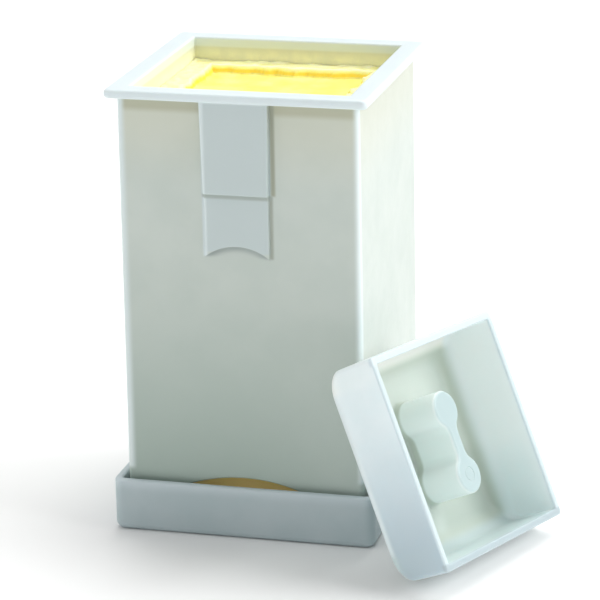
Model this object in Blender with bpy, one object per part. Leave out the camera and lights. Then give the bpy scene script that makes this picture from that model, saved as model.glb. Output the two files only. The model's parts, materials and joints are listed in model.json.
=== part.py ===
"""Butter spreader: a square sleeve of butter that stands in a shallow tray, with its loose pusher.

The sleeve's lower end is cut to the curve of a corn cob, and the fresh block of butter stands on
the tray's floor. The pusher is a shallow open box with a dog-bone grip. It presses the butter down
the sleeve, and here it leans on the sleeve's corner.
Metres, +Z up. The origin is the middle of the tray's underside, and -Y is the front.
"""

import math

import bmesh
import bpy
from mathutils import Euler, Matrix, Vector

# Driving dimensions.
SLEEVE_WIDTH = 0.0458
SLEEVE_DRAFT = 0.00023
SLEEVE_WALL = 0.0021
SLEEVE_CORNER = 0.0008
TOTAL_HEIGHT = 0.0863
TRAY_HEIGHT = 0.0102
TRAY_WALL = 0.0015
TRAY_FLOOR = 0.0014
TRAY_CLEARANCE = 0.0009
COB_RADIUS = 0.031
COB_CREST = 0.0114
PUSHER_WIDTH = 0.0409
PUSHER_DEPTH = 0.0140
PUSHER_WALL = 0.0014
FITTING_GAP = 0.0003

# Rim: a flange that turns outwards round the sleeve's mouth.
RIM_OVERHANG = 0.0020
RIM_THICKNESS = 0.00175
RIM_ROUNDING = 0.0006
RIM_CORNER = 0.0009
MOUTH_ROUNDING = 0.0004

# Raised strip down the front of the sleeve, in a thicker upper and a thinner lower half.
STRIP_HALF_WIDTHS = (0.0065, 0.0061)
STRIP_PROUD = (0.0011, 0.0007)
STRIP_STEP_Z = 0.0671
STRIP_END_Z = 0.0550
STRIP_NOTCH_DEPTH = 0.0022

# Tray and pusher edges.
TRAY_CORNER = 0.0020
TRAY_FOOT_ROUNDING = 0.0014
LIP_ROUNDING = 0.0003
PUSHER_ROUNDING = 0.0059
PUSHER_CORNER = 0.0008
PUSHER_CORNER_GROWTH = 0.5
PUSHER_DRAFT = 0.0002

# Dog-bone grip: two round lobes joined by a thin web.
GRIP_LENGTH = 0.0199
GRIP_LOBE_RADIUS = 0.0036
GRIP_WEB_HALF_WIDTH = 0.0014
GRIP_FILLET = 0.0024
GRIP_TOP = 0.0114
GRIP_ROUNDING = 0.0005

# Butter: its top is pressed down in the middle, which leaves a raised border.
BUTTER_TOP = 0.0817
BUTTER_RECESS_HALF = 0.0158
BUTTER_RECESS_DEPTH = 0.0014

# How the loose pusher leans on the sleeve's front right corner.
LEAN_HEADING = math.radians(-18.5)
LEAN_FROM_UPRIGHT = math.radians(25.2)
LEAN_ASKEW = math.radians(-3.3)
LEAN_NEAR_CORNER_Y = -0.0379
LEAN_GAP = 0.00035

CORNER_STEPS = 6
EDGE_STEPS = 3
COB_STEPS = 96

# Worked out from the driving dimensions.
HALF_WIDTH = SLEEVE_WIDTH / 2
FOOT_HALF = HALF_WIDTH + SLEEVE_DRAFT
SLEEVE_BOTTOM = TRAY_FLOOR + FITTING_GAP
TRAY_HALF = FOOT_HALF + TRAY_CLEARANCE + TRAY_WALL
PUSHER_HALF = PUSHER_WIDTH / 2
COB_CENTRE_Z = COB_CREST - COB_RADIUS
BUTTER_HALF = HALF_WIDTH - SLEEVE_WALL - FITTING_GAP
GRIP_LOBE_CENTRE = GRIP_LENGTH / 2 - GRIP_LOBE_RADIUS


def clear_scene():
    for old in list(bpy.data.objects):
        bpy.data.objects.remove(old, do_unlink=True)


def plastic(name, colour, roughness):
    """A Principled material with one colour, for a moulded or a soft part."""
    material = bpy.data.materials.new(name)
    material.use_nodes = True
    shader = material.node_tree.nodes["Principled BSDF"]
    shader.inputs["Base Color"].default_value = (*colour, 1.0)
    shader.inputs["Roughness"].default_value = roughness
    shader.inputs["Metallic"].default_value = 0.0
    return material


def arc(centre, radius, start, end, steps):
    """Points (across, height) along an arc between two angles in degrees."""
    points = []
    for step in range(steps + 1):
        angle = math.radians(start + (end - start) * step / steps)
        across = centre[0] + radius * math.cos(angle)
        points.append((across, centre[1] + radius * math.sin(angle)))
    return points


def rounded_square(half, radius, z):
    """One ring of points round a square with rounded corners, anticlockwise from above."""
    radius = max(radius, LIP_ROUNDING)
    points = []
    for quarter in range(4):
        for step in range(CORNER_STEPS + 1):
            angle = math.pi / 2 * (quarter + step / CORNER_STEPS)
            middle = math.pi / 2 * quarter + math.pi / 4
            x = math.copysign(half - radius, math.cos(middle)) + radius * math.cos(angle)
            y = math.copysign(half - radius, math.sin(middle)) + radius * math.sin(angle)
            points.append(Vector((x, y, z)))
    return points


def bridge(shape, lower, upper):
    """Join two rings with the same number of points by a band of four-sided faces."""
    count = len(lower)
    for index in range(count):
        after = (index + 1) % count
        shape.faces.new((lower[index], lower[after], upper[after], upper[index]))


def swept_square(half, radius, profile, closed):
    """Sweep a profile of (offset outwards, z) points round a rounded square.

    A point may carry a third number, its own corner radius, where corners don't follow the offset.
    A closed profile makes a tube. An open one is capped at both ends.
    """
    shape = bmesh.new()
    rings = []
    for offset, z, *corner in profile:
        ring = rounded_square(half + offset, corner[0] if corner else radius + offset, z)
        rings.append([shape.verts.new(point) for point in ring])
    for lower, upper in zip(rings, rings[1:]):
        bridge(shape, lower, upper)
    if closed:
        bridge(shape, rings[-1], rings[0])
    else:
        shape.faces.new(list(reversed(rings[0])))
        shape.faces.new(rings[-1])
    return shape


def with_corners(profile, corner, growth=0.0, start=0.0):
    """Give each profile point a corner radius, which may grow below a starting height."""
    return [(offset, z, corner + growth * max(0.0, start - z)) for offset, z in profile]


def extruded(outline, low, high, top_inset=0.0):
    """A solid between two heights from an outline of (x, y) points, anticlockwise from above.

    With a top inset, the upper edge is rounded over by that much.
    """
    shape = bmesh.new()
    bottom = [shape.verts.new((x, y, low)) for x, y in outline]
    bottom_face = shape.faces.new(list(reversed(bottom)))
    side = bmesh.ops.extrude_face_region(shape, geom=[bottom_face], use_keep_orig=True)
    top = [item for item in side["geom"] if isinstance(item, bmesh.types.BMVert)]
    bmesh.ops.translate(shape, verts=top, vec=(0, 0, high - low))
    bmesh.ops.recalc_face_normals(shape, faces=shape.faces)
    if top_inset:
        rim = [edge for edge in shape.edges if all(vert in top for vert in edge.verts)]
        bmesh.ops.bevel(shape, geom=rim, offset=top_inset, segments=EDGE_STEPS, affect="EDGES")
    return shape


def make_object(name, shape, material=None):
    mesh = bpy.data.meshes.new(name)
    bmesh.ops.recalc_face_normals(shape, faces=shape.faces)
    shape.to_mesh(mesh)
    shape.free()
    mesh.shade_smooth()
    mesh.set_sharp_from_angle(angle=math.radians(35))
    if material:
        mesh.materials.append(material)
    made = bpy.data.objects.new(name, mesh)
    bpy.context.scene.collection.objects.link(made)
    return made


def helper(name, shape):
    """A cutter or a piece to join, which is not a part of its own."""
    made = make_object(name, shape)
    made.hide_render = True
    made.display_type = "WIRE"
    return made


def boolean(target, other, operation):
    modifier = target.modifiers.new(other.name, "BOOLEAN")
    modifier.operation = operation
    modifier.solver = "EXACT"
    modifier.object = other


def cob_cutter():
    """A long cylinder along Y where a corn cob would lie under the sleeve."""
    outline = []
    for step in range(COB_STEPS):
        angle = math.tau * step / COB_STEPS
        outline.append((COB_RADIUS * math.cos(angle), COB_RADIUS * math.sin(angle)))
    shape = extruded(outline, -SLEEVE_WIDTH, SLEEVE_WIDTH)
    turn = Matrix.Rotation(math.pi / 2, 4, "X")
    place = Matrix.Translation((0, 0, COB_CENTRE_Z))
    bmesh.ops.transform(shape, matrix=place @ turn, verts=shape.verts)
    return helper("cob_curve", shape)


def strip_half(name, half_width, proud, low, high, notch):
    """One half of the front strip, drawn in the X-Z plane, with a round notch in its end."""
    outline = [(half_width, low), (half_width, high), (-half_width, high), (-half_width, low)]
    if notch:
        radius = (half_width**2 + notch**2) / (2 * notch)
        sweep = math.degrees(math.asin(half_width / radius))
        outline = outline[1:3]
        outline += arc((0, low + notch - radius), radius, 90 + sweep, 90 - sweep, 2 * CORNER_STEPS)
    shape = extruded(outline, HALF_WIDTH - SLEEVE_WALL / 2, HALF_WIDTH + proud)
    bmesh.ops.transform(shape, matrix=Matrix.Rotation(math.pi / 2, 4, "X"), verts=shape.verts)
    return helper(name, shape)


def make_sleeve(material):
    """Square tube, a little wider at its foot, with a flange at its mouth and a cob-curved end."""
    top = TOTAL_HEIGHT
    under = top - RIM_THICKNESS
    edge = RIM_OVERHANG - RIM_ROUNDING
    profile = [(SLEEVE_DRAFT, SLEEVE_BOTTOM), (0, under)]
    rim = arc((edge, under + RIM_ROUNDING), RIM_ROUNDING, -90, 0, EDGE_STEPS)
    rim += arc((edge, top - RIM_ROUNDING), RIM_ROUNDING, 0, 90, EDGE_STEPS)
    profile += with_corners(rim, RIM_CORNER)
    inner = -SLEEVE_WALL
    mouth = (inner + MOUTH_ROUNDING, top - MOUTH_ROUNDING)
    profile += arc(mouth, MOUTH_ROUNDING, 90, 180, EDGE_STEPS)
    profile.append((inner + SLEEVE_DRAFT, SLEEVE_BOTTOM))
    shape = swept_square(HALF_WIDTH, SLEEVE_CORNER, profile, closed=True)
    sleeve = make_object("sleeve", shape, material)
    boolean(sleeve, cob_cutter(), "DIFFERENCE")
    upper = strip_half(
        "strip_upper", STRIP_HALF_WIDTHS[0], STRIP_PROUD[0], STRIP_STEP_Z, under + RIM_ROUNDING, 0.0
    )
    lower = strip_half(
        "strip_lower",
        STRIP_HALF_WIDTHS[1],
        STRIP_PROUD[1],
        STRIP_END_Z,
        STRIP_STEP_Z + RIM_THICKNESS,
        STRIP_NOTCH_DEPTH,
    )
    boolean(sleeve, upper, "UNION")
    boolean(sleeve, lower, "UNION")
    return sleeve


def make_tray(material):
    """Shallow open tray that the curved end of the sleeve stands in."""
    foot = TRAY_FOOT_ROUNDING
    lip = LIP_ROUNDING
    profile = arc((-foot, foot), foot, -90, 0, EDGE_STEPS)
    profile += arc((-lip, TRAY_HEIGHT - lip), lip, 0, 90, EDGE_STEPS)
    profile += arc((lip - TRAY_WALL, TRAY_HEIGHT - lip), lip, 90, 180, EDGE_STEPS)
    profile += arc((-TRAY_WALL - lip, TRAY_FLOOR + lip), lip, 0, -90, EDGE_STEPS)
    shape = swept_square(TRAY_HALF, TRAY_CORNER, profile, closed=False)
    return make_object("base_tray", shape, material)


def grip_outline():
    """Dog-bone outline, anticlockwise: lobe arcs joined to a straight web by fillets."""
    lobe = GRIP_LOBE_RADIUS
    reach = lobe + GRIP_FILLET
    fillet_x = GRIP_WEB_HALF_WIDTH + GRIP_FILLET
    drop = math.sqrt(reach**2 - fillet_x**2)
    fillet_y = GRIP_LOBE_CENTRE - drop
    join = math.degrees(math.atan2(drop, fillet_x))
    quarter = arc((fillet_x, fillet_y), GRIP_FILLET, 180, 180 - join, CORNER_STEPS)
    quarter += arc((0, GRIP_LOBE_CENTRE), lobe, -join, 90, 2 * CORNER_STEPS)[1:]
    mirrored = [(-x, y) for x, y in reversed(quarter[:-1])]
    top_half = quarter + mirrored
    return top_half + [(-x, -y) for x, y in top_half]


def make_pusher(material):
    """Shallow open box with a grip, modelled lying on its closed side, centred on its origin."""
    edge = PUSHER_ROUNDING
    inside = edge - PUSHER_WALL
    outer = arc((-edge - PUSHER_DRAFT, edge), edge, -90, 0, 3 * EDGE_STEPS)
    outer.append((0, PUSHER_DEPTH))
    inner = [(-PUSHER_WALL, PUSHER_DEPTH)]
    middle = (-PUSHER_WALL - PUSHER_DRAFT - inside, PUSHER_WALL + inside)
    inner += arc(middle, inside, 0, -90, 3 * EDGE_STEPS)
    profile = with_corners(outer, PUSHER_CORNER, PUSHER_CORNER_GROWTH, edge)
    profile += with_corners(inner, LIP_ROUNDING, PUSHER_CORNER_GROWTH, edge)
    shape = swept_square(PUSHER_HALF, PUSHER_CORNER, profile, closed=False)
    pusher = make_object("pusher", shape, material)
    grip = helper("grip", extruded(grip_outline(), PUSHER_WALL / 2, GRIP_TOP, GRIP_ROUNDING))
    boolean(pusher, grip, "UNION")
    return pusher, grip


def lean_pusher(pusher, grip):
    """Stand the pusher on its lower edge, tipped back until its top edge meets the sleeve's corner.

    Its pivot is the middle of the rounding at its lower rear corner.
    """
    turn = Euler((math.pi / 2 - LEAN_FROM_UPRIGHT, 0, math.pi / 2 + LEAN_HEADING)).to_matrix()
    frame = turn @ Matrix.Rotation(LEAN_ASKEW, 3, "Z")
    inset = PUSHER_HALF - PUSHER_DRAFT - PUSHER_ROUNDING
    corner = Vector((inset, -inset, PUSHER_ROUNDING))
    near_corner = Vector((-inset, -inset, PUSHER_ROUNDING))
    top_corner = Vector((-inset, inset, PUSHER_ROUNDING))
    along_top = frame @ Vector((1, 0, 0))
    outwards = along_top.cross(Vector((0, 0, 1))).normalized()
    sleeve_corner = Vector((FOOT_HALF - SLEEVE_CORNER, SLEEVE_CORNER - FOOT_HALF, 0))
    pivot_y = LEAN_NEAR_CORNER_Y + (frame @ (corner - near_corner)).y
    lowest = min((frame @ (vert.co - corner)).z for vert in pusher.data.vertices)
    pivot = Vector((0, pivot_y, -lowest))
    top_point = pivot + frame @ (top_corner - corner)
    wanted = PUSHER_ROUNDING + SLEEVE_CORNER + LEAN_GAP
    pivot.x = (wanted - outwards.dot(top_point - sleeve_corner)) / outwards.x
    axis = bpy.data.objects.new("pusher_pivot", None)
    axis.location = pivot
    axis.rotation_euler = turn.to_euler()
    bpy.context.scene.collection.objects.link(axis)
    for piece in (pusher, grip):
        piece.parent = axis
        piece.rotation_euler = (0, 0, LEAN_ASKEW)
        piece.location = Matrix.Rotation(LEAN_ASKEW, 3, "Z") @ -corner


def make_butter(material):
    """Block that fills the sleeve, flat below where it stands on the tray and pressed in on top."""
    profile = [
        (0, SLEEVE_BOTTOM),
        (0, BUTTER_TOP),
        (BUTTER_RECESS_HALF - BUTTER_HALF, BUTTER_TOP),
        (BUTTER_RECESS_HALF - BUTTER_HALF, BUTTER_TOP - BUTTER_RECESS_DEPTH),
    ]
    shape = swept_square(BUTTER_HALF, SLEEVE_CORNER, profile, closed=False)
    return make_object("butter_block", shape, material)


def build():
    clear_scene()
    make_sleeve(plastic("sleeve_plastic", (0.80, 0.84, 0.80), 0.35))
    make_tray(plastic("tray_plastic", (0.70, 0.77, 0.78), 0.35))
    pusher, grip = make_pusher(plastic("pusher_plastic", (0.74, 0.83, 0.84), 0.22))
    lean_pusher(pusher, grip)
    make_butter(plastic("butter", (0.98, 0.86, 0.28), 0.45))


build()
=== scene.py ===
"""Looks of the butter spreader: a sleeve of butter that stands in its tray, with the loose pusher.

Metres, +Z up, -Y is the front. Each piece replaces one CAD node and rides on that node's body.
"""

import json
import math

import bmesh
import bpy
from mathutils import Euler, Matrix, Vector, noise


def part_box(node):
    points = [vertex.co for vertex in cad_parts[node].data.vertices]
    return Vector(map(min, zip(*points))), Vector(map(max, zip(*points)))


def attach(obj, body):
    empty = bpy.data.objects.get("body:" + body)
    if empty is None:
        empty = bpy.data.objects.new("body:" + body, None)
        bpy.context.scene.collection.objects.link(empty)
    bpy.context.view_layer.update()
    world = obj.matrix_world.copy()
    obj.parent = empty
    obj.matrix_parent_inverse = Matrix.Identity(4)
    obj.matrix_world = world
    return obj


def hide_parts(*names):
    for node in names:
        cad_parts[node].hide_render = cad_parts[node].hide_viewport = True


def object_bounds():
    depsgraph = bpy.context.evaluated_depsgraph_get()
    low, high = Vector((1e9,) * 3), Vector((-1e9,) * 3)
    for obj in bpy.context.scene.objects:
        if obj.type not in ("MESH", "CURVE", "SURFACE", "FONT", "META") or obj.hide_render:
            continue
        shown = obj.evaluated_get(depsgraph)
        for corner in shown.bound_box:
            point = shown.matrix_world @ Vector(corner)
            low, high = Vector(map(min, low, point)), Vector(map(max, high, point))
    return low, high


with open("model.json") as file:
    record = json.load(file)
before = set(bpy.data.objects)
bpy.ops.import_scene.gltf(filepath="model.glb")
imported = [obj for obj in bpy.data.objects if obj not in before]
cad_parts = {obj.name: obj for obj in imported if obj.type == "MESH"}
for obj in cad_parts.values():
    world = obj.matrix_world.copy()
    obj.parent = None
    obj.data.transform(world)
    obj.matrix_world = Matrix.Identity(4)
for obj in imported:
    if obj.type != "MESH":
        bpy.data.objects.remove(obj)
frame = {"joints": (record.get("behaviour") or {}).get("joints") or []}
CAD_LOW, CAD_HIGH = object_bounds()

# Camera: its place round the object, its lens, and the point that it looks at.
CAMERA_AZIMUTH = math.radians(15.03)
CAMERA_ELEVATION = math.radians(17.55)
CAMERA_ROLL = math.radians(-1.06)
CAMERA_DISTANCE = 0.5942
CAMERA_FOCAL_LENGTH = 184.4
CAMERA_SENSOR = 36.0
LOOK_AT_RIGHT = 0.00508
LOOK_AT_HEIGHT = 0.03958

# Mesh fineness, the smallest corner radius, and the angle past which an edge is shaded sharp.
CORNER_STEPS = 10
SIDE_STEPS = 44
EDGE_STEPS = 4
NOTCH_STEPS = 80
GRIP_FILLET_STEPS = 10
GRIP_LOBE_STEPS = 24
GATE_MARK_STEPS = 40
GATE_MARK_TUBE_STEPS = 8
SMALLEST_RADIUS = 0.0002
SHARP_ANGLE = math.radians(50)

# Sleeve, matching the CAD's own dimensions.
SLEEVE_WALL = 0.0021
SLEEVE_DRAFT = 0.00023
SLEEVE_CORNER = 0.0008
RIM_OVERHANG = 0.0020
RIM_THICKNESS = 0.00175
RIM_ROUNDING = 0.0006
RIM_CORNER = 0.0009
RIM_FILLET = 0.0004
MOUTH_ROUNDING = 0.0005
FOOT_ROUNDING = 0.00035
COB_RADIUS = 0.031
COB_CREST = 0.0114

# Strip on the front: half widths at its top, at its step and at its end.
STRIP_HALF_WIDTHS = (0.0066, 0.0062, 0.0062)
STRIP_MIDDLE_X = -0.0003
STRIP_PROUD = (0.0013, 0.0006)
STRIP_STEP_Z = 0.0671
STRIP_END_Z = 0.0550
STRIP_NOTCH_DEPTH = 0.0022
STRIP_ROUNDING = 0.0004

# Tray.
TRAY_WALL = 0.0015
TRAY_FLOOR = 0.0014
TRAY_CORNER = 0.0020
TRAY_FOOT_ROUNDING = 0.0014
TRAY_LIP_ROUNDING = 0.0005
TRAY_INNER_FILLET = 0.0006

# Pusher and its dog-bone grip.
PUSHER_HALF = 0.02045
PUSHER_DEPTH = 0.0140
PUSHER_WALL = 0.0014
PUSHER_ROUNDING = 0.0059
PUSHER_CORNER = 0.0008
PUSHER_CORNER_GROWTH = 0.5
PUSHER_DRAFT = 0.0002
PUSHER_LIP_ROUNDING = 0.0004
PUSHER_LEAN = math.radians(25.2)
PUSHER_ASKEW = math.radians(-3.3)
GRIP_LENGTH = 0.0199
GRIP_LOBE_RADIUS = 0.0036
GRIP_WEB_HALF_WIDTH = 0.0014
GRIP_FILLET = 0.0024
GRIP_TOP = 0.0114
GRIP_ROUNDING = 0.0006
GRIP_BASE_FLARE = 0.0006
GATE_MARK_RADIUS = 0.0013
GATE_MARK_DEPTH = 0.00013

# Butter.
BUTTER_GAP = 0.00005
BUTTER_RECESS_HALF = 0.0158
BUTTER_RECESS_DEPTH = 0.0014
BUTTER_EDGE = 0.0007
BUTTER_RIDGE_HEIGHT = 0.00025
BUTTER_RIDGE_WIDTH = 0.0006
BUTTER_LUMP_BAND = (0.0024, 0.0003)
BUTTER_DENT_FADE = (0.006, 0.002)
BUTTER_BROAD_DENT = 0.00016
BUTTER_SMALL_DENT = 0.0001
BUTTER_SIDE_ROWS = 70
BUTTER_CAP_RINGS = 64
BUTTER_CAP_START = 0.9

# Unevenness of the butter, as layers of (height, waves per millimetre, shift).
MILLIMETRES = 1000
NO_SHIFT = (0, 0, 0)
RAGGED_EDGE = ((0.0009, 0.35, NO_SHIFT), (0.0005, 1.1, NO_SHIFT))
ROUGH_BORDER = ((0.00022, 0.55, (7, 3, 1)), (0.0001, 1.9, NO_SHIFT))
BORDER_LUMPS = ((0.0007, 0.42, (2, 9, 4)),)
PRESSED_FLOOR = ((0.00006, 0.3, NO_SHIFT), (0.00003, 1.4, NO_SHIFT))
BROAD_DENTS = ((1.0, 0.12, NO_SHIFT),)
SMALL_DENTS = ((1.0, 0.6, NO_SHIFT),)

# Surface noise, as (scale, detail, roughness).
PLASTIC_GRAIN = (1400.0, 4.0, 0.6)
PLASTIC_WAVES = (70.0, 2.0)
PLASTIC_SCUFFS = (260.0, 6.0, 0.7)
FILM_AND_BOUNCE_STREAKS = (420.0, 5.0)
BUTTER_PATCHES = (240.0, 4.0)
BUTTER_GRAIN = (900.0, 5.0, 0.65)
FLOOR_CLOUDS = (3.0, 2.0)

# How a noise value or a share is stretched, and what it is stretched to.
NOISE_CONTRAST = (0.3, 0.7)
PATCH_CONTRAST = (0.35, 0.65)
FILM_AND_BOUNCE_CONTRAST = (0.3, 0.75)
FILM_AND_BOUNCE_WEIGHTS = (0.6, 0.95)
LOW_FRONT_SHADE_WEIGHTS = (0.6, 1.0)
BUTTER_ROUGHNESS = (0.38, 0.55)
SURFACE_IOR = 1.49

# Colours of the sleeve, in linear light.
SLEEVE_SHADES = ((0.57, 0.635, 0.59), (0.60, 0.66, 0.615))
# Painted warm glow near the mouth, standing in for light through the butter showing through the
# wall.
SLEEVE_WARM_GLOW = (0.66, 0.66, 0.52)
# Painted shade low on the front.
SLEEVE_LOW_FRONT_SHADE = (0.39, 0.48, 0.43)
# Painted shadow under the rim.
SLEEVE_UNDER_RIM_SHADOW = (0.50, 0.51, 0.39)
# Painted highlights along the front's left and right corners.
SLEEVE_LEFT_EDGE_HIGHLIGHT = (0.70, 0.78, 0.78)
SLEEVE_RIGHT_EDGE_HIGHLIGHT = (0.74, 0.82, 0.82)
# Painted highlight on the rim.
SLEEVE_RIM_HIGHLIGHT = (0.72, 0.80, 0.82)
# A butter film on the inner wall, brightened with painted bounce light from the butter.
BUTTER_FILM_AND_BOUNCE = (0.98, 0.97, 0.68)
STRIP_FACE = (0.56, 0.64, 0.64)
# Painted highlight on the strip's left edge, and painted shadows by its right edge, under its step
# and along its notch.
STRIP_LEFT_HIGHLIGHT = (0.68, 0.76, 0.77)
STRIP_UPPER_SHADE = (0.40, 0.42, 0.33)
STRIP_LOWER_SHADE = (0.42, 0.46, 0.40)
STRIP_STEP_SHADE = (0.42, 0.48, 0.45)
NOTCH_GROUND = (0.57, 0.63, 0.59)
NOTCH_SHADE = (0.38, 0.44, 0.42)

# Colours of the tray, the pusher, the butter and the floor.
TRAY_SHADES = ((0.45, 0.54, 0.56), (0.49, 0.57, 0.59))
# Painted highlight along the tray's lip.
TRAY_LIP_HIGHLIGHT = (0.58, 0.66, 0.69)
PUSHER_SHADES = ((0.78, 0.86, 0.88), (0.82, 0.89, 0.91))
# Painted light and shade on the pusher: its outer left side, its walls, floor, grip and lips.
PUSHER_OUTER_SIDE_SHADE = (0.50, 0.60, 0.65)
PUSHER_UPPER_WALL_LIGHT = (0.93, 0.96, 0.90)
PUSHER_LOWER_WALL_SHADE = (0.58, 0.68, 0.68)
PUSHER_RIGHT_WALL_LIGHT = (0.86, 0.92, 0.93)
PUSHER_RIGHT_WALL_FOOT_SHADE = (0.74, 0.83, 0.84)
PUSHER_FLOOR_SHADE = (0.59, 0.66, 0.59)
PUSHER_FLOOR_CORNER_SHADE = (0.47, 0.54, 0.48)
PUSHER_LIP_SHADE = (0.60, 0.69, 0.72)
PUSHER_LOWER_LIP_SHADE = (0.46, 0.54, 0.57)
PUSHER_UPPER_LIP_SHADE = (0.66, 0.75, 0.79)
GRIP_SIDES_LIGHT = (0.84, 0.92, 0.90)
GRIP_FACE_SHADE = (0.50, 0.62, 0.63)
BUTTER_SHADES = ((1.0, 0.82, 0.14), (1.0, 0.89, 0.25))
# Painted highlight on the butter's raised border, painted shade down the recess's edge and low
# down, and a faint painted glow.
BUTTER_PALE_HIGHLIGHT = (1.0, 0.97, 0.55)
BUTTER_STEP_SHADE = (1.0, 0.72, 0.03)
BUTTER_LOW_SHADE = (1.0, 0.70, 0.28)
BUTTER_GLOW_COLOUR = (1.0, 0.90, 0.40, 1.0)
BUTTER_GLOW = 0.06
FLOOR_SHADES = ((0.93, 0.93, 0.925), (0.95, 0.95, 0.945))

# Heights and places where the colours change. The first of a pair is where a change starts.
WARM_GLOW_HEIGHTS = (0.066, 0.083)
LOW_FRONT_SHADE_HEIGHTS = (0.062, 0.004)
LOW_FRONT_SHADE_ACROSS = (0.022, -0.002)
FRONT_FACE_DEPTHS = (-0.0215, -0.0227)
FRONT_FACE_RANGE = (-0.026, -0.0215)
FRONT_HALF_WIDTH = 0.0225
UNDER_RIM_SHADOW_BAND = 0.0022
CORNER_HIGHLIGHT_FOOT = 0.012
LEFT_CORNER_HIGHLIGHT = (-0.0235, -0.0217)
RIGHT_CORNER_HIGHLIGHT = (0.0222, 0.0235)
RIM_HIGHLIGHT_BAND = (0.0022, 0.0016)
INNER_WALL_REACH = (0.0213, 0.0209)
FILM_AND_BOUNCE_DEPTHS = (0.0008, 0.0042)
TRAY_LIP_HIGHLIGHT_HEIGHTS = (0.0078, 0.0104)
PUSHER_SIDE_SHADE_FADE = (0.016, -0.022)
PUSHER_LIP_DEPTHS = (0.0132, 0.0150)
PUSHER_LIP_WIDTH = 0.0008
BUTTER_SHADED_HEIGHTS = (0.020, 0.008)
NOTCH_CLEARANCE = 0.002
NOTCH_EDGE = 0.0001
NOTCH_LINE = (0.0016, 0.0002)

# Heights above the butter's border, which is the top of its box.
BUTTER_HIGHLIGHT_HEIGHTS = (-0.0005, 0.0003)
BUTTER_STEP_FOOT = (-0.00125, -0.0010)
BUTTER_STEP_HEAD = (-0.0003, -0.0007)


def arc(centre, radius, start, end, steps=EDGE_STEPS):
    """Points (across, height) along an arc between two angles in degrees."""
    points = []
    for step in range(steps + 1):
        angle = math.radians(start + (end - start) * step / steps)
        across = centre[0] + radius * math.cos(angle)
        points.append((across, centre[1] + radius * math.sin(angle)))
    return points


def square_outline(half, radius):
    """Points (x, y) anticlockwise round a square with rounded corners, and along its sides."""
    radius = max(radius, SMALLEST_RADIUS)
    inner = half - radius
    points = []
    for quarter in range(4):
        turn = Matrix.Rotation(quarter * math.pi / 2, 2)
        for step in range(CORNER_STEPS):
            angle = math.pi / 2 * step / CORNER_STEPS
            corner = Vector((inner + radius * math.cos(angle), inner + radius * math.sin(angle)))
            points.append(turn @ corner)
        for step in range(SIDE_STEPS):
            points.append(turn @ Vector((inner - 2 * inner * step / SIDE_STEPS, half)))
    return points


def bridge(shape, lower, upper):
    """Join two rings with the same number of points by a band of four-sided faces."""
    count = len(lower)
    for index in range(count):
        after = (index + 1) % count
        shape.faces.new((lower[index], lower[after], upper[after], upper[index]))


def skin(shape, rings, closed):
    """Cover a stack of rings with faces. A closed one joins its ends, an open one is capped."""
    for lower, upper in zip(rings, rings[1:]):
        bridge(shape, lower, upper)
    if closed:
        bridge(shape, rings[-1], rings[0])
    else:
        shape.faces.new(list(reversed(rings[0])))
        shape.faces.new(rings[-1])


def swept_square(half, radius, profile, closed, reshape=None):
    """Sweep a profile of (offset outwards, z) points round a rounded square.

    A point may carry a third number, its own corner radius, where corners don't follow the offset.
    A closed profile makes a tube. An open one is capped at both ends. Reshape moves each point.
    """
    shape = bmesh.new()
    rings = []
    for offset, z, *corner in profile:
        outline = square_outline(half + offset, corner[0] if corner else radius + offset)
        points = [Vector((x, y, z)) for x, y in outline]
        if reshape:
            points = [reshape(point) for point in points]
        rings.append([shape.verts.new(point) for point in points])
    skin(shape, rings, closed)
    return shape


def with_corners(profile, corner, growth=0.0, start=0.0):
    """Give each profile point a corner radius, which may grow below a starting height."""
    return [(offset, z, corner + growth * max(0.0, start - z)) for offset, z in profile]


def offset_outline(points, distance):
    """Move a closed anticlockwise outline outwards by a distance."""
    moved = []
    for index, point in enumerate(points):
        before = Vector(points[index - 1])
        after = Vector(points[(index + 1) % len(points)])
        along = (after - before).normalized()
        moved.append((point[0] + distance * along.y, point[1] - distance * along.x))
    return moved


def lofted(outline, levels):
    """A solid through copies of an outline, one at each (offset, z) level, capped at both ends."""
    shape = bmesh.new()
    rings = []
    for offset, z in levels:
        rings.append([shape.verts.new((x, y, z)) for x, y in offset_outline(outline, offset)])
    skin(shape, rings, closed=False)
    return shape


def make_object(name, shape, material=None):
    """Turn a bmesh shape into an object in the scene."""
    mesh = bpy.data.meshes.new(name)
    bmesh.ops.recalc_face_normals(shape, faces=shape.faces)
    shape.to_mesh(mesh)
    shape.free()
    mesh.shade_smooth()
    if material:
        mesh.materials.append(material)
    made = bpy.data.objects.new(name, mesh)
    bpy.context.scene.collection.objects.link(made)
    return made


def combine(piece, tools):
    """Join or cut a piece with helper objects, keep the result and remove the helpers."""
    for tool, operation in tools:
        modifier = piece.modifiers.new(tool.name, "BOOLEAN")
        modifier.operation = operation
        modifier.solver = "EXACT"
        modifier.object = tool
    graph = bpy.context.evaluated_depsgraph_get()
    mesh = bpy.data.meshes.new_from_object(piece.evaluated_get(graph))
    piece.modifiers.clear()
    piece.data = mesh
    for tool, _ in tools:
        bpy.data.objects.remove(tool, do_unlink=True)


def shade_by_area(piece):
    """Keep flat walls flat in the shading, and sharp edges only where they are really sharp."""
    piece.data.shade_smooth()
    piece.data.set_sharp_from_angle(angle=SHARP_ANGLE)
    weighted = piece.modifiers.new("weighted_normals", "WEIGHTED_NORMAL")
    weighted.keep_sharp = True


def finish_piece(piece, node, body):
    """Say which body a piece rides on and which node it replaces."""
    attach(piece, body)
    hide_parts(node)


def cob_height(x):
    """Height of the curve that fits a corn cob, at a distance from its middle."""
    return COB_CREST - COB_RADIUS + math.sqrt(COB_RADIUS**2 - x**2)


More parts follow.
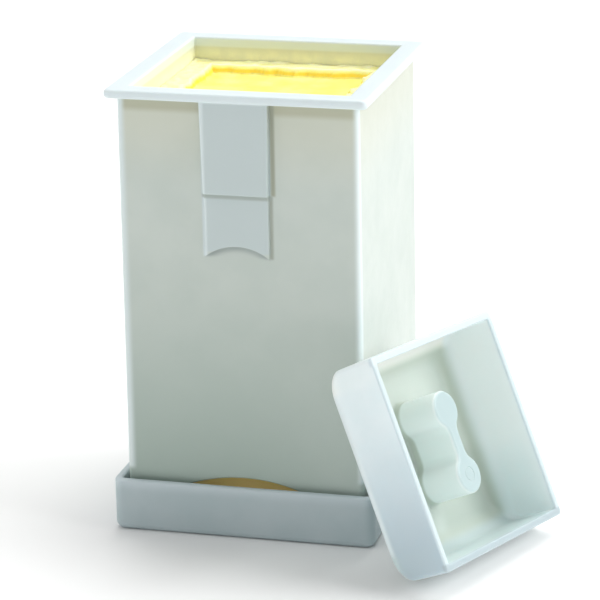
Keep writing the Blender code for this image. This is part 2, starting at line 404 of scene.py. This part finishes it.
def upright_plate(name, outline, levels):
    """A solid from an outline in the X-Z plane, placed on the sleeve's front."""
    shape = lofted(outline, levels)
    place = Matrix.Translation((STRIP_MIDDLE_X, 0, 0)) @ Matrix.Rotation(math.pi / 2, 4, "X")
    bmesh.ops.transform(shape, matrix=place, verts=shape.verts)
    return make_object(name, shape)


def strip_piece(name, half_widths, low, high, back, front):
    """A raised plate with rounded front edges, from behind the sleeve's face to in front of it."""
    upper_half, lower_half = half_widths
    outline = [(upper_half, high), (-upper_half, high), (-lower_half, low), (lower_half, low)]
    rounding = STRIP_ROUNDING
    levels = [(0, back)] + arc((-rounding, front - rounding), rounding, 0, 90)
    return upright_plate(name, outline, levels)


def notch_circle():
    """Radius and centre height of the circle that forms the notch in the strip's lower end."""
    radius = (STRIP_HALF_WIDTHS[2] ** 2 + STRIP_NOTCH_DEPTH**2) / (2 * STRIP_NOTCH_DEPTH)
    return radius, STRIP_END_Z + STRIP_NOTCH_DEPTH - radius


def notch_cutter(back, front):
    """A disc that cuts the round notch into the strip's lower end."""
    radius, centre_z = notch_circle()
    outline = arc((0, centre_z), radius, 0, 360, NOTCH_STEPS)[:-1]
    return upright_plate("notch", outline, [(0, back), (0, front)])


def make_sleeve(material):
    """Drafted square tube with a flange at its mouth, a cob-curved end and a strip in front."""
    low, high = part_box("sleeve")
    half = high.x - RIM_OVERHANG
    top = high.z
    under = top - RIM_THICKNESS
    edge = RIM_OVERHANG - RIM_ROUNDING
    foot = FOOT_ROUNDING
    bottom = low.z
    clear_of_curve = COB_CREST + 4 * foot

    def cob_cut(point):
        """Lift the lowest points to the curve that fits a corn cob."""
        if point.z < bottom + 2 * foot:
            point.z += max(0.0, cob_height(point.x) - bottom)
        return point

    profile = arc((SLEEVE_DRAFT - foot, bottom + foot), foot, -90, 0)
    profile.append((SLEEVE_DRAFT, clear_of_curve))
    profile += arc((RIM_FILLET, under - RIM_FILLET), RIM_FILLET, 180, 90)
    rim = arc((edge, under + RIM_ROUNDING), RIM_ROUNDING, -90, 0)
    rim += arc((edge, top - RIM_ROUNDING), RIM_ROUNDING, 0, 90)
    profile += with_corners(rim, RIM_CORNER)
    inner = -SLEEVE_WALL
    profile += arc((inner + MOUTH_ROUNDING, top - MOUTH_ROUNDING), MOUTH_ROUNDING, 90, 180)
    profile.append((inner + SLEEVE_DRAFT, clear_of_curve))
    profile += arc((inner + SLEEVE_DRAFT + foot, bottom + foot), foot, 180, 270)
    shape = swept_square(half, SLEEVE_CORNER, profile, closed=True, reshape=cob_cut)
    sleeve = make_object("sleeve_shell", shape, material)
    top_half, step_half, end_half = STRIP_HALF_WIDTHS
    back = half - SLEEVE_WALL / 2
    upper_end = under + RIM_THICKNESS / 2
    upper_front, lower_front = half + STRIP_PROUD[0], half + STRIP_PROUD[1]
    upper = strip_piece(
        "strip_upper", (top_half, step_half), STRIP_STEP_Z, upper_end, back, upper_front
    )
    lower_top = STRIP_STEP_Z + RIM_THICKNESS
    lower = strip_piece(
        "strip_lower", (step_half, end_half), STRIP_END_Z, lower_top, back, lower_front
    )
    combine(lower, [(notch_cutter(half - SLEEVE_WALL, half + SLEEVE_WALL), "DIFFERENCE")])
    combine(sleeve, [(upper, "UNION"), (lower, "UNION")])
    shade_by_area(sleeve)
    finish_piece(sleeve, "sleeve", "sleeve")


def make_tray(material):
    """Shallow open tray with rounded corners, a rounded foot and a soft lip."""
    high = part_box("base_tray")[1]
    foot = TRAY_FOOT_ROUNDING
    lip = TRAY_LIP_ROUNDING
    fillet = TRAY_INNER_FILLET
    profile = arc((-foot, foot), foot, -90, 0, 2 * EDGE_STEPS)
    profile += arc((-lip, high.z - lip), lip, 0, 90)
    profile += arc((lip - TRAY_WALL, high.z - lip), lip, 90, 180)
    profile += arc((-TRAY_WALL - fillet, TRAY_FLOOR + fillet), fillet, 0, -90)
    shape = swept_square(high.x, TRAY_CORNER, profile, closed=False)
    tray = make_object("tray_shell", shape, material)
    shade_by_area(tray)
    finish_piece(tray, "base_tray", "tray")


def grip_outline():
    """Dog-bone outline, anticlockwise: lobe arcs joined to a straight web by fillets."""
    lobe = GRIP_LOBE_RADIUS
    lobe_centre = GRIP_LENGTH / 2 - lobe
    fillet_x = GRIP_WEB_HALF_WIDTH + GRIP_FILLET
    drop = math.sqrt((lobe + GRIP_FILLET) ** 2 - fillet_x**2)
    join = math.degrees(math.atan2(drop, fillet_x))
    fillet_centre = (fillet_x, lobe_centre - drop)
    quarter = arc(fillet_centre, GRIP_FILLET, 180, 180 - join, GRIP_FILLET_STEPS)
    quarter += arc((0, lobe_centre), lobe, -join, 90, GRIP_LOBE_STEPS)[1:]
    top_half = quarter + [(-x, y) for x, y in reversed(quarter[:-1])]
    return top_half + [(-x, -y) for x, y in top_half]


def make_grip():
    """Dog-bone wall with a flared base and a rounded top edge."""
    rounding = GRIP_ROUNDING
    flare = GRIP_BASE_FLARE
    levels = [(flare, PUSHER_WALL / 2)]
    levels += arc((flare, PUSHER_WALL + flare), flare, 270, 180)
    levels += arc((-rounding, GRIP_TOP - rounding), rounding, 0, 90)
    return make_object("grip", lofted(grip_outline(), levels))


def make_gate_mark():
    """A ring that cuts the faint round mould mark into the lower lobe of the grip."""
    shape = bmesh.new()
    rings = []
    for step in range(GATE_MARK_STEPS):
        turn = Matrix.Rotation(math.tau * step / GATE_MARK_STEPS, 4, "Z")
        ring = []
        for tube_step in range(GATE_MARK_TUBE_STEPS):
            angle = math.tau * tube_step / GATE_MARK_TUBE_STEPS
            across = GATE_MARK_RADIUS + GATE_MARK_DEPTH * math.cos(angle)
            point = turn @ Vector((across, 0, GATE_MARK_DEPTH * math.sin(angle)))
            ring.append(shape.verts.new(point))
        rings.append(ring)
    for index in range(GATE_MARK_STEPS):
        bridge(shape, rings[index - 1], rings[index])
    mark = make_object("gate_mark", shape)
    mark.location = (0, GRIP_LOBE_RADIUS - GRIP_LENGTH / 2, GRIP_TOP)
    return mark


def pusher_place():
    """Where the pusher leans, worked out from its joint in the record."""
    joint = next(joint for joint in frame["joints"] if joint["name"] == "pusher_tip")
    axis = Vector(joint["axis"])
    heading = math.atan2(-axis.x, axis.y)
    turn = Euler((math.pi / 2 - PUSHER_LEAN, 0, math.pi / 2 + heading)).to_matrix()
    turn = turn @ Matrix.Rotation(PUSHER_ASKEW, 3, "Z")
    inset = PUSHER_HALF - PUSHER_DRAFT - PUSHER_ROUNDING
    corner = Vector((inset, -inset, PUSHER_ROUNDING))
    return Matrix.Translation(Vector(joint["pos_m"]) - turn @ corner) @ turn.to_4x4()


def make_pusher(material):
    """Shallow open box with rounded closed edges, a soft lip and the grip inside it."""
    edge = PUSHER_ROUNDING
    lip = PUSHER_LIP_ROUNDING
    inside = edge - PUSHER_WALL
    outer = arc((-edge - PUSHER_DRAFT, edge), edge, -90, 0, 4 * EDGE_STEPS)
    outer += arc((-lip, PUSHER_DEPTH - lip), lip, 0, 90)
    inner = arc((lip - PUSHER_WALL, PUSHER_DEPTH - lip), lip, 90, 180)
    middle = (-PUSHER_WALL - PUSHER_DRAFT - inside, PUSHER_WALL + inside)
    inner += arc(middle, inside, 0, -90, 4 * EDGE_STEPS)
    profile = with_corners(outer, PUSHER_CORNER, PUSHER_CORNER_GROWTH, edge)
    profile += with_corners(inner, PUSHER_LIP_ROUNDING, PUSHER_CORNER_GROWTH, edge)
    shape = swept_square(PUSHER_HALF, PUSHER_CORNER, profile, closed=False)
    pusher = make_object("pusher_shell", shape, material)
    combine(pusher, [(make_grip(), "UNION")])
    bpy.context.view_layer.update()
    combine(pusher, [(make_gate_mark(), "DIFFERENCE")])
    shade_by_area(pusher)
    pusher.matrix_world = pusher_place()
    finish_piece(pusher, "pusher", "pusher")


def smooth_step(value, low, high):
    """A share that rises smoothly from zero at the low value to one at the high value."""
    share = min(1.0, max(0.0, (value - low) / (high - low)))
    return share * share * (3 - 2 * share)


def waves(spot, layers):
    """Sum of noise layers at a spot in millimetres."""
    return sum(height * noise.noise(spot * rate + Vector(shift)) for height, rate, shift in layers)


def butter_relief(x, y, half):
    """Height of the butter's top above its border, from the pressed recess, ridges and lumps."""
    spot = Vector((x, y, 0)) * MILLIMETRES
    from_middle = max(abs(x), abs(y))
    reach = from_middle + waves(spot, RAGGED_EDGE)
    edge_start = BUTTER_RECESS_HALF - BUTTER_EDGE / 2
    edge_end = BUTTER_RECESS_HALF + BUTTER_EDGE / 2
    inside = 1 - smooth_step(reach, edge_start, edge_end)
    from_ridge = reach - BUTTER_RECESS_HALF - BUTTER_EDGE
    ridge = BUTTER_RIDGE_HEIGHT * math.exp(-((from_ridge / BUTTER_RIDGE_WIDTH) ** 2))
    lump_start, lump_end = BUTTER_LUMP_BAND
    near_wall = smooth_step(from_middle, half - lump_start, half - lump_end)
    lump = max(0.0, waves(spot, BORDER_LUMPS)) * near_wall
    raised = waves(spot, ROUGH_BORDER) + ridge + lump
    return (1 - inside) * raised - inside * (BUTTER_RECESS_DEPTH - waves(spot, PRESSED_FLOOR))


def butter_wall(point, half, top):
    """Pull a point on the butter's side inwards where the side is dented, but not near its top."""
    spot = point * MILLIMETRES
    dent = BUTTER_BROAD_DENT * (1 + waves(spot, BROAD_DENTS))
    dent += BUTTER_SMALL_DENT * max(0.0, waves(spot, SMALL_DENTS))
    fade_start, fade_end = BUTTER_DENT_FADE
    dent *= 1 - smooth_step(point.z, top - fade_start, top - fade_end)
    return point - Vector((point.x, point.y, 0)) / half * dent


def make_butter(material):
    """Closed block of butter: rings up its sides, and nested rings over its ragged top."""
    low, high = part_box("butter_block")
    sleeve_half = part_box("sleeve")[1].x - RIM_OVERHANG - SLEEVE_WALL
    half = sleeve_half - BUTTER_GAP
    top = high.z
    side_height = top - low.z
    outline = square_outline(half, SLEEVE_CORNER)
    rings = []
    for row in range(BUTTER_SIDE_ROWS + 1):
        height = low.z + side_height * row / BUTTER_SIDE_ROWS
        rings.append([butter_wall(Vector((x, y, height)), half, top) for x, y in outline])
    for step in range(1, BUTTER_CAP_RINGS):
        share = 1 - (step - BUTTER_CAP_START) / BUTTER_CAP_RINGS
        ring = []
        for x, y in outline:
            x, y = x * share, y * share
            ring.append(Vector((x, y, top + butter_relief(x, y, half))))
        rings.append(ring)
    shape = bmesh.new()
    skin(shape, [[shape.verts.new(point) for point in ring] for ring in rings], closed=False)
    butter = make_object("butter_body", shape, material)
    finish_piece(butter, "butter_block", "butter")


def add_node(material, kind, inputs=None, **settings):
    """A shader node with its settings, and its inputs as values or as sockets to link from."""
    node = material.node_tree.nodes.new(kind)
    for name, value in settings.items():
        setattr(node, name, value)
    for name, value in (inputs or {}).items():
        if isinstance(value, bpy.types.NodeSocket):
            material.node_tree.links.new(value, node.inputs[name])
        else:
            node.inputs[name].default_value = value
    return node


def new_material(name):
    """A new material and its shader node."""
    material = bpy.data.materials.new(name)
    material.use_nodes = True
    return material, material.node_tree.nodes["Principled BSDF"]


def object_point(material):
    """The place of a point in its own object, as a vector socket."""
    return add_node(material, "ShaderNodeTexCoord").outputs["Object"]


def split_point(material, point):
    """The X, Y and Z sockets of a vector socket, by name."""
    return add_node(material, "ShaderNodeSeparateXYZ", {"Vector": point}).outputs


def noise_value(material, point, scale, detail=3.0, roughness=0.55):
    """A socket of soft noise, which is mostly between 0.3 and 0.7."""
    inputs = {"Vector": point, "Scale": scale, "Detail": detail, "Roughness": roughness}
    return add_node(material, "ShaderNodeTexNoise", inputs).outputs["Fac"]


def in_range(material, value, low, high, start=0.0, end=1.0):
    """Map a value from one range to another, smoothly and clamped."""
    inputs = {"Value": value, "From Min": low, "From Max": high, "To Min": start, "To Max": end}
    mapped = add_node(material, "ShaderNodeMapRange", inputs, interpolation_type="SMOOTHSTEP")
    return mapped.outputs["Result"]


def blend_colours(material, share, first, second):
    """Mix two colours, each a tuple or a colour socket, by a share socket."""
    mix = add_node(material, "ShaderNodeMix", data_type="RGBA")
    sockets = [socket for socket in mix.inputs if socket.type == "RGBA"]
    material.node_tree.links.new(share, mix.inputs[0])
    for socket, value in zip(sockets, (first, second)):
        if isinstance(value, bpy.types.NodeSocket):
            material.node_tree.links.new(value, socket)
        else:
            socket.default_value = (*value, 1.0)
    return next(socket for socket in mix.outputs if socket.type == "RGBA")


def arithmetic(material, operation, first, second=0.0):
    """The result of a sum on two numbers or sockets, as a socket."""
    node = add_node(material, "ShaderNodeMath", {0: first, 1: second}, operation=operation)
    return node.outputs["Value"]


def product(material, first, *others):
    """Several shares multiplied together."""
    for other in others:
        first = arithmetic(material, "MULTIPLY", first, other)
    return first


def zone(material, axes, limits, soft):
    """A share that is one inside a box of {axis: (low, high)} limits and fades at its edges."""
    shares = []
    for axis, (low, high) in limits.items():
        shares.append(in_range(material, axes[axis], low - soft, low + soft))
        shares.append(in_range(material, axes[axis], high + soft, high - soft))
    return product(material, *shares)


def paint_zones(material, axes, colour, zones):
    """Lay (limits, shade, softness) zones over a colour, each on top of the last."""
    for limits, shade, soft in zones:
        colour = blend_colours(material, zone(material, axes, limits, soft), colour, shade)
    return colour


def mottled(material, point, scale, shades):
    """A colour that drifts in soft patches between two shades."""
    patches = in_range(material, noise_value(material, point, scale), *PATCH_CONTRAST)
    return blend_colours(material, patches, *shades)


def bumped(material, height, strength, distance, under=None):
    """The surface's normal after bumps from a height socket, laid over another normal if given."""
    inputs = {"Height": height, "Strength": strength, "Distance": distance}
    if under:
        inputs["Normal"] = under
    return add_node(material, "ShaderNodeBump", inputs).outputs["Normal"]


def moulded_surface(material, shader, point, rough_low, rough_high):
    """Fine moulded grain, faint waviness and scuffs for a plastic part."""
    grain = noise_value(material, point, *PLASTIC_GRAIN)
    wavy = noise_value(material, point, *PLASTIC_WAVES)
    scuffs = noise_value(material, point, *PLASTIC_SCUFFS)
    broad = bumped(material, wavy, strength=0.15, distance=0.0003)
    fine = bumped(material, grain, strength=0.12, distance=0.00003, under=broad)
    roughness = in_range(material, scuffs, *NOISE_CONTRAST, rough_low, rough_high)
    links = material.node_tree.links
    links.new(fine, shader.inputs["Normal"])
    links.new(roughness, shader.inputs["Roughness"])


def set_translucence(shader, weight, scale, radius):
    """Let light into the surface: how much, how deep, and how far each colour goes."""
    shader.inputs["Subsurface Weight"].default_value = weight
    shader.inputs["Subsurface Scale"].default_value = scale
    shader.inputs["Subsurface Radius"].default_value = radius
    shader.inputs["IOR"].default_value = SURFACE_IOR


def notch_shades(material, axes, colour, across, face):
    """The sleeve's own colour inside the strip's notch, with a painted shadow line along the
    notch's arc.
    """
    radius, centre_z = notch_circle()
    sideways = arithmetic(material, "SUBTRACT", axes["X"], STRIP_MIDDLE_X)
    upwards = arithmetic(material, "SUBTRACT", axes["Z"], centre_z)
    squares = arithmetic(
        material, "ADD", product(material, sideways, sideways), product(material, upwards, upwards)
    )
    distance = arithmetic(material, "SQRT", squares)
    box = {"X": across, "Y": face, "Z": (STRIP_END_Z, STRIP_STEP_Z - NOTCH_CLEARANCE)}
    in_disc = in_range(material, distance, radius + NOTCH_EDGE, radius - NOTCH_EDGE)
    ground = product(material, in_disc, zone(material, axes, box, soft=0.0004))
    colour = blend_colours(material, ground, colour, NOTCH_GROUND)
    line_start, line_end = NOTCH_LINE
    near_arc = in_range(material, distance, radius - line_start, radius - line_end)
    return blend_colours(material, product(material, ground, near_arc), colour, NOTCH_SHADE)


def front_shades(material, axes, colour):
    """Shades on the sleeve's front: the cooler strip, painted shadows beside it and painted
    highlights on edges.
    """
    face = FRONT_FACE_RANGE
    under_rim = CAD_HIGH.z - RIM_THICKNESS
    left = STRIP_MIDDLE_X - STRIP_HALF_WIDTHS[0]
    right = STRIP_MIDDLE_X + STRIP_HALF_WIDTHS[0]
    low_right = STRIP_MIDDLE_X + STRIP_HALF_WIDTHS[1]
    whole_front = (-FRONT_HALF_WIDTH, FRONT_HALF_WIDTH)
    rim_shadow = (under_rim - UNDER_RIM_SHADOW_BAND, under_rim)
    corner_highlight = (CORNER_HIGHLIGHT_FOOT, under_rim)
    strip = (STRIP_END_Z, under_rim)
    strip_face = (STRIP_END_Z + 0.001, under_rim)
    upper_strip = (STRIP_STEP_Z, under_rim)
    lower_strip = (STRIP_END_Z, STRIP_STEP_Z)
    step_line = (STRIP_STEP_Z - 0.0008, STRIP_STEP_Z)
    # Painted shadow under the rim, painted highlights on the front's corners and the strip's left
    # edge, the strip's cooler face, and painted shadows by the strip's right edge and under its
    # step.
    bands = (
        (whole_front, rim_shadow, SLEEVE_UNDER_RIM_SHADOW, 0.0007),
        (LEFT_CORNER_HIGHLIGHT, corner_highlight, SLEEVE_LEFT_EDGE_HIGHLIGHT, 0.0006),
        (RIGHT_CORNER_HIGHLIGHT, corner_highlight, SLEEVE_RIGHT_EDGE_HIGHLIGHT, 0.0006),
        ((left, right), strip_face, STRIP_FACE, 0.0003),
        ((left, left + 0.0009), strip, STRIP_LEFT_HIGHLIGHT, 0.0003),
        ((right, right + 0.0008), upper_strip, STRIP_UPPER_SHADE, 0.0003),
        ((low_right, low_right + 0.0007), lower_strip, STRIP_LOWER_SHADE, 0.0003),
        ((left, right), step_line, STRIP_STEP_SHADE, 0.0003),
    )
    zones = [
        ({"X": across, "Y": face, "Z": heights}, shade, soft)
        for across, heights, shade, soft in bands
    ]
    colour = paint_zones(material, axes, colour, zones)
    return notch_shades(material, axes, colour, (left, right), face)


def sleeve_material():
    """Milky plastic with a painted warm glow near the mouth and painted cooler shade low on its
    front.
    """
    material, shader = new_material("sleeve_milky_plastic")
    point = object_point(material)
    axes = split_point(material, point)
    colour = mottled(material, point, 90.0, SLEEVE_SHADES)
    # Painted warm glow near the mouth, for light through the butter showing through the wall.
    warm = product(material, in_range(material, axes["Z"], *WARM_GLOW_HEIGHTS), 0.5)
    colour = blend_colours(material, warm, colour, SLEEVE_WARM_GLOW)
    # Painted shade on the front, deepening towards its foot and its left side.
    front_face = in_range(material, axes["Y"], *FRONT_FACE_DEPTHS)
    low_down = in_range(material, axes["Z"], *LOW_FRONT_SHADE_HEIGHTS)
    leftwards = in_range(material, axes["X"], *LOW_FRONT_SHADE_ACROSS, *LOW_FRONT_SHADE_WEIGHTS)
    low_front_shade = product(material, low_down, leftwards, front_face)
    colour = blend_colours(material, low_front_shade, colour, SLEEVE_LOW_FRONT_SHADE)
    colour = front_shades(material, axes, colour)
    # Painted highlight on the rim.
    rim_start, rim_end = RIM_HIGHLIGHT_BAND
    rim_highlight = in_range(material, axes["Z"], CAD_HIGH.z - rim_start, CAD_HIGH.z - rim_end)
    colour = blend_colours(material, rim_highlight, colour, SLEEVE_RIM_HIGHLIGHT)
    # A butter film on the inner wall below the mouth, brightened with painted bounce light from the
    # butter.
    across = arithmetic(material, "ABSOLUTE", axes["X"])
    along = arithmetic(material, "ABSOLUTE", axes["Y"])
    reach = arithmetic(material, "MAXIMUM", across, along)
    inside = in_range(material, reach, *INNER_WALL_REACH)
    streaky = noise_value(material, point, *FILM_AND_BOUNCE_STREAKS)
    streaks = in_range(material, streaky, *FILM_AND_BOUNCE_CONTRAST, *FILM_AND_BOUNCE_WEIGHTS)
    film_and_bounce_start, film_and_bounce_end = FILM_AND_BOUNCE_DEPTHS
    below_mouth = in_range(material, axes["Z"], CAD_HIGH.z - film_and_bounce_start, CAD_HIGH.z - film_and_bounce_end)
    film_and_bounce = product(material, inside, streaks, below_mouth)
    colour = blend_colours(material, film_and_bounce, colour, BUTTER_FILM_AND_BOUNCE)
    material.node_tree.links.new(colour, shader.inputs["Base Color"])
    moulded_surface(material, shader, point, rough_low=0.34, rough_high=0.46)
    set_translucence(shader, weight=0.35, scale=0.0012, radius=(1.0, 1.0, 0.9))
    return material


def tray_material():
    """Thin bluish milky plastic, with a painted highlight along its lip."""
    material, shader = new_material("tray_milky_plastic")
    point = object_point(material)
    axes = split_point(material, point)
    colour = mottled(material, point, 80.0, TRAY_SHADES)
    # Painted highlight along the lip.
    lip = in_range(material, axes["Z"], *TRAY_LIP_HIGHLIGHT_HEIGHTS)
    colour = blend_colours(material, lip, colour, TRAY_LIP_HIGHLIGHT)
    material.node_tree.links.new(colour, shader.inputs["Base Color"])
    moulded_surface(material, shader, point, rough_low=0.32, rough_high=0.44)
    set_translucence(shader, weight=0.3, scale=0.0018, radius=(0.9, 1.0, 1.0))
    return material


def pusher_zones():
    """Painted light and shade in the pusher: on its walls, its floor, its grip and its lips."""
    inner = PUSHER_HALF - PUSHER_WALL / 2
    outer = PUSHER_HALF + PUSHER_WALL
    side = (-inner, inner)
    deep = (0.0008, PUSHER_DEPTH - 0.0004)
    right_wall = (0.0176, inner)
    upper_wall = (0.016, inner)
    lower_wall = (-inner, -0.015)
    floor = {"X": (-0.018, 0.0178), "Y": (-0.0170, 0.0170), "Z": (0.001, 0.0055)}
    floor_corner = {"X": (0.001, 0.0170), "Y": (-0.0165, -0.003), "Z": (0.001, 0.004)}
    hollow = (
        ({"X": side, "Y": upper_wall, "Z": deep}, PUSHER_UPPER_WALL_LIGHT, 0.001),
        ({"X": side, "Y": lower_wall, "Z": deep}, PUSHER_LOWER_WALL_SHADE, 0.001),
        ({"X": right_wall, "Y": side, "Z": deep}, PUSHER_RIGHT_WALL_LIGHT, 0.0006),
        ({"X": right_wall, "Y": (-inner, -0.006), "Z": deep}, PUSHER_RIGHT_WALL_FOOT_SHADE, 0.004),
        (floor, PUSHER_FLOOR_SHADE, 0.001),
        (floor_corner, PUSHER_FLOOR_CORNER_SHADE, 0.002),
    )
    half_length = GRIP_LENGTH / 2 + 0.0006
    half_width = GRIP_LOBE_RADIUS + 0.0006
    grip = {"X": (-half_width, half_width), "Y": (-half_length, half_length)}
    grip_zones = (
        (grip | {"Z": (0.003, GRIP_TOP)}, GRIP_SIDES_LIGHT, 0.0004),
        (grip | {"Z": (GRIP_TOP - 0.0002, GRIP_TOP + 0.001)}, GRIP_FACE_SHADE, 0.0002),
    )
    lip_start = inner - PUSHER_LIP_WIDTH
    lip = {"X": (-outer, outer), "Z": PUSHER_LIP_DEPTHS}
    lips = (
        (lip | {"Y": (-outer, -lip_start)}, PUSHER_LOWER_LIP_SHADE, 0.0003),
        (lip | {"Y": (lip_start, outer)}, PUSHER_UPPER_LIP_SHADE, 0.0003),
    )
    return hollow + grip_zones, lips


def pusher_material():
    """Bluish milky plastic with glossier skin, and painted shade that makes its floor greener and
    deeper.
    """
    material, shader = new_material("pusher_milky_plastic")
    point = object_point(material)
    axes = split_point(material, point)
    colour = mottled(material, point, 110.0, PUSHER_SHADES)
    # Painted shade on the outer left side, deepening towards its lower end.
    left_face = PUSHER_WALL / 2 - PUSHER_HALF
    left_side = in_range(material, axes["X"], left_face + 0.0003, left_face - 0.0003)
    downwards = in_range(material, axes["Y"], *PUSHER_SIDE_SHADE_FADE)
    outer_side_shade = product(material, left_side, downwards)
    colour = blend_colours(material, outer_side_shade, colour, PUSHER_OUTER_SIDE_SHADE)
    # Painted light and shade on the walls, the floor and the grip.
    zones, lips = pusher_zones()
    colour = paint_zones(material, axes, colour, zones)
    # Painted shade on the lips.
    on_lip = in_range(material, axes["Z"], PUSHER_DEPTH - 0.0005, PUSHER_DEPTH - 0.0002)
    colour = blend_colours(material, on_lip, colour, PUSHER_LIP_SHADE)
    colour = paint_zones(material, axes, colour, lips)
    material.node_tree.links.new(colour, shader.inputs["Base Color"])
    moulded_surface(material, shader, point, rough_low=0.28, rough_high=0.34)
    set_translucence(shader, weight=0.6, scale=0.0018, radius=(0.9, 1.0, 1.0))
    return material


def butter_material():
    """Soft yellow butter: painted highlights on its ragged ridges, painted orange shade down the
    recess's edge.
    """
    material, shader = new_material("butter_soft")
    point = object_point(material)
    axes = split_point(material, point)
    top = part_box("butter_block")[1].z
    patchy = noise_value(material, point, *BUTTER_PATCHES)
    colour = blend_colours(material, in_range(material, patchy, *NOISE_CONTRAST), *BUTTER_SHADES)
    height = arithmetic(material, "SUBTRACT", axes["Z"], top)
    # Painted highlight on the raised border.
    pale = in_range(material, height, *BUTTER_HIGHLIGHT_HEIGHTS)
    colour = blend_colours(material, pale, colour, BUTTER_PALE_HIGHLIGHT)
    # Painted orange shade down the recess's edge.
    above_floor = in_range(material, height, *BUTTER_STEP_FOOT)
    below_border = in_range(material, height, *BUTTER_STEP_HEAD)
    step = product(material, above_floor, below_border)
    colour = blend_colours(material, step, colour, BUTTER_STEP_SHADE)
    # Painted shade low down, where the butter shows dark under the arch.
    shaded = in_range(material, axes["Z"], *BUTTER_SHADED_HEIGHTS)
    colour = blend_colours(material, shaded, colour, BUTTER_LOW_SHADE)
    links = material.node_tree.links
    links.new(colour, shader.inputs["Base Color"])
    grain = noise_value(material, point, *BUTTER_GRAIN)
    links.new(bumped(material, grain, strength=0.5, distance=0.00012), shader.inputs["Normal"])
    roughness = in_range(material, patchy, *NOISE_CONTRAST, *BUTTER_ROUGHNESS)
    links.new(roughness, shader.inputs["Roughness"])
    set_translucence(shader, weight=0.6, scale=0.0025, radius=(1.0, 0.8, 0.25))
    # A faint painted glow: the butter gives off light of its own.
    shader.inputs["Emission Color"].default_value = BUTTER_GLOW_COLOUR
    shader.inputs["Emission Strength"].default_value = BUTTER_GLOW
    return material


def floor_material():
    """Matt white, with the faintest clouds."""
    material, shader = new_material("studio_white")
    cloudy = noise_value(material, object_point(material), *FLOOR_CLOUDS)
    colour = blend_colours(material, in_range(material, cloudy, *NOISE_CONTRAST), *FLOOR_SHADES)
    material.node_tree.links.new(colour, shader.inputs["Base Color"])
    shader.inputs["Roughness"].default_value = 0.85
    shader.inputs["Specular IOR Level"].default_value = 0.1
    return material


def make_floor():
    """A plain pale floor, wide enough to fill every view."""
    mesh = bpy.data.meshes.new("floor")
    reach = 6.0
    corners = [(-reach, -reach, 0), (reach, -reach, 0), (reach, reach, 0), (-reach, reach, 0)]
    mesh.from_pydata(corners, [], [(0, 1, 2, 3)])
    mesh.materials.append(floor_material())
    floor = bpy.data.objects.new("floor", mesh)
    bpy.context.scene.collection.objects.link(floor)


def make_sun(name, azimuth, elevation, strength, spread):
    """A broad soft light. Angles are in degrees, and azimuth 0 is the front, 90 the right."""
    light = bpy.data.lights.new(name, "SUN")
    light.energy = strength
    light.angle = math.radians(spread)
    sun = bpy.data.objects.new(name, light)
    sun.rotation_euler = Euler((math.radians(90 - elevation), 0, math.radians(azimuth)))
    bpy.context.scene.collection.objects.link(sun)


def make_lights():
    """Bright from above and behind and from the right, with a weak light from the upper left."""
    make_sun("overhead", azimuth=165, elevation=62, strength=1.9, spread=50)
    make_sun("right_key", azimuth=97, elevation=32, strength=1.75, spread=40)
    make_sun("left_fill", azimuth=-65, elevation=35, strength=0.55, spread=50)
    world = bpy.data.worlds.new("studio")
    world.use_nodes = True
    background = world.node_tree.nodes["Background"]
    background.inputs["Color"].default_value = (1.0, 1.0, 1.0, 1.0)
    background.inputs["Strength"].default_value = 0.41
    bpy.context.scene.world = world


def make_camera():
    """The camera at the photograph's viewing angle."""
    forward = Vector((
        -math.sin(CAMERA_AZIMUTH) * math.cos(CAMERA_ELEVATION),
        math.cos(CAMERA_AZIMUTH) * math.cos(CAMERA_ELEVATION),
        -math.sin(CAMERA_ELEVATION),
    ))
    right = Vector((math.cos(CAMERA_AZIMUTH), math.sin(CAMERA_AZIMUTH), 0))
    upward = right.cross(forward)
    place = right * LOOK_AT_RIGHT + Vector((0, 0, LOOK_AT_HEIGHT)) - forward * CAMERA_DISTANCE
    turn = Matrix((right, upward, -forward)).transposed()
    roll = Matrix.Rotation(CAMERA_ROLL, 3, "Z")
    data = bpy.data.cameras.new("camera")
    data.lens = CAMERA_FOCAL_LENGTH
    data.sensor_width = CAMERA_SENSOR
    data.clip_start = 0.01
    data.clip_end = 50.0
    camera = bpy.data.objects.new("camera", data)
    camera.matrix_world = Matrix.Translation(place) @ (turn @ roll).to_4x4()
    bpy.context.scene.collection.objects.link(camera)
    bpy.context.scene.camera = camera


bpy.context.scene.view_settings.view_transform = "Standard"
make_camera()
make_lights()
make_floor()
make_sleeve(sleeve_material())
make_tray(tray_material())
make_pusher(pusher_material())
make_butter(butter_material())
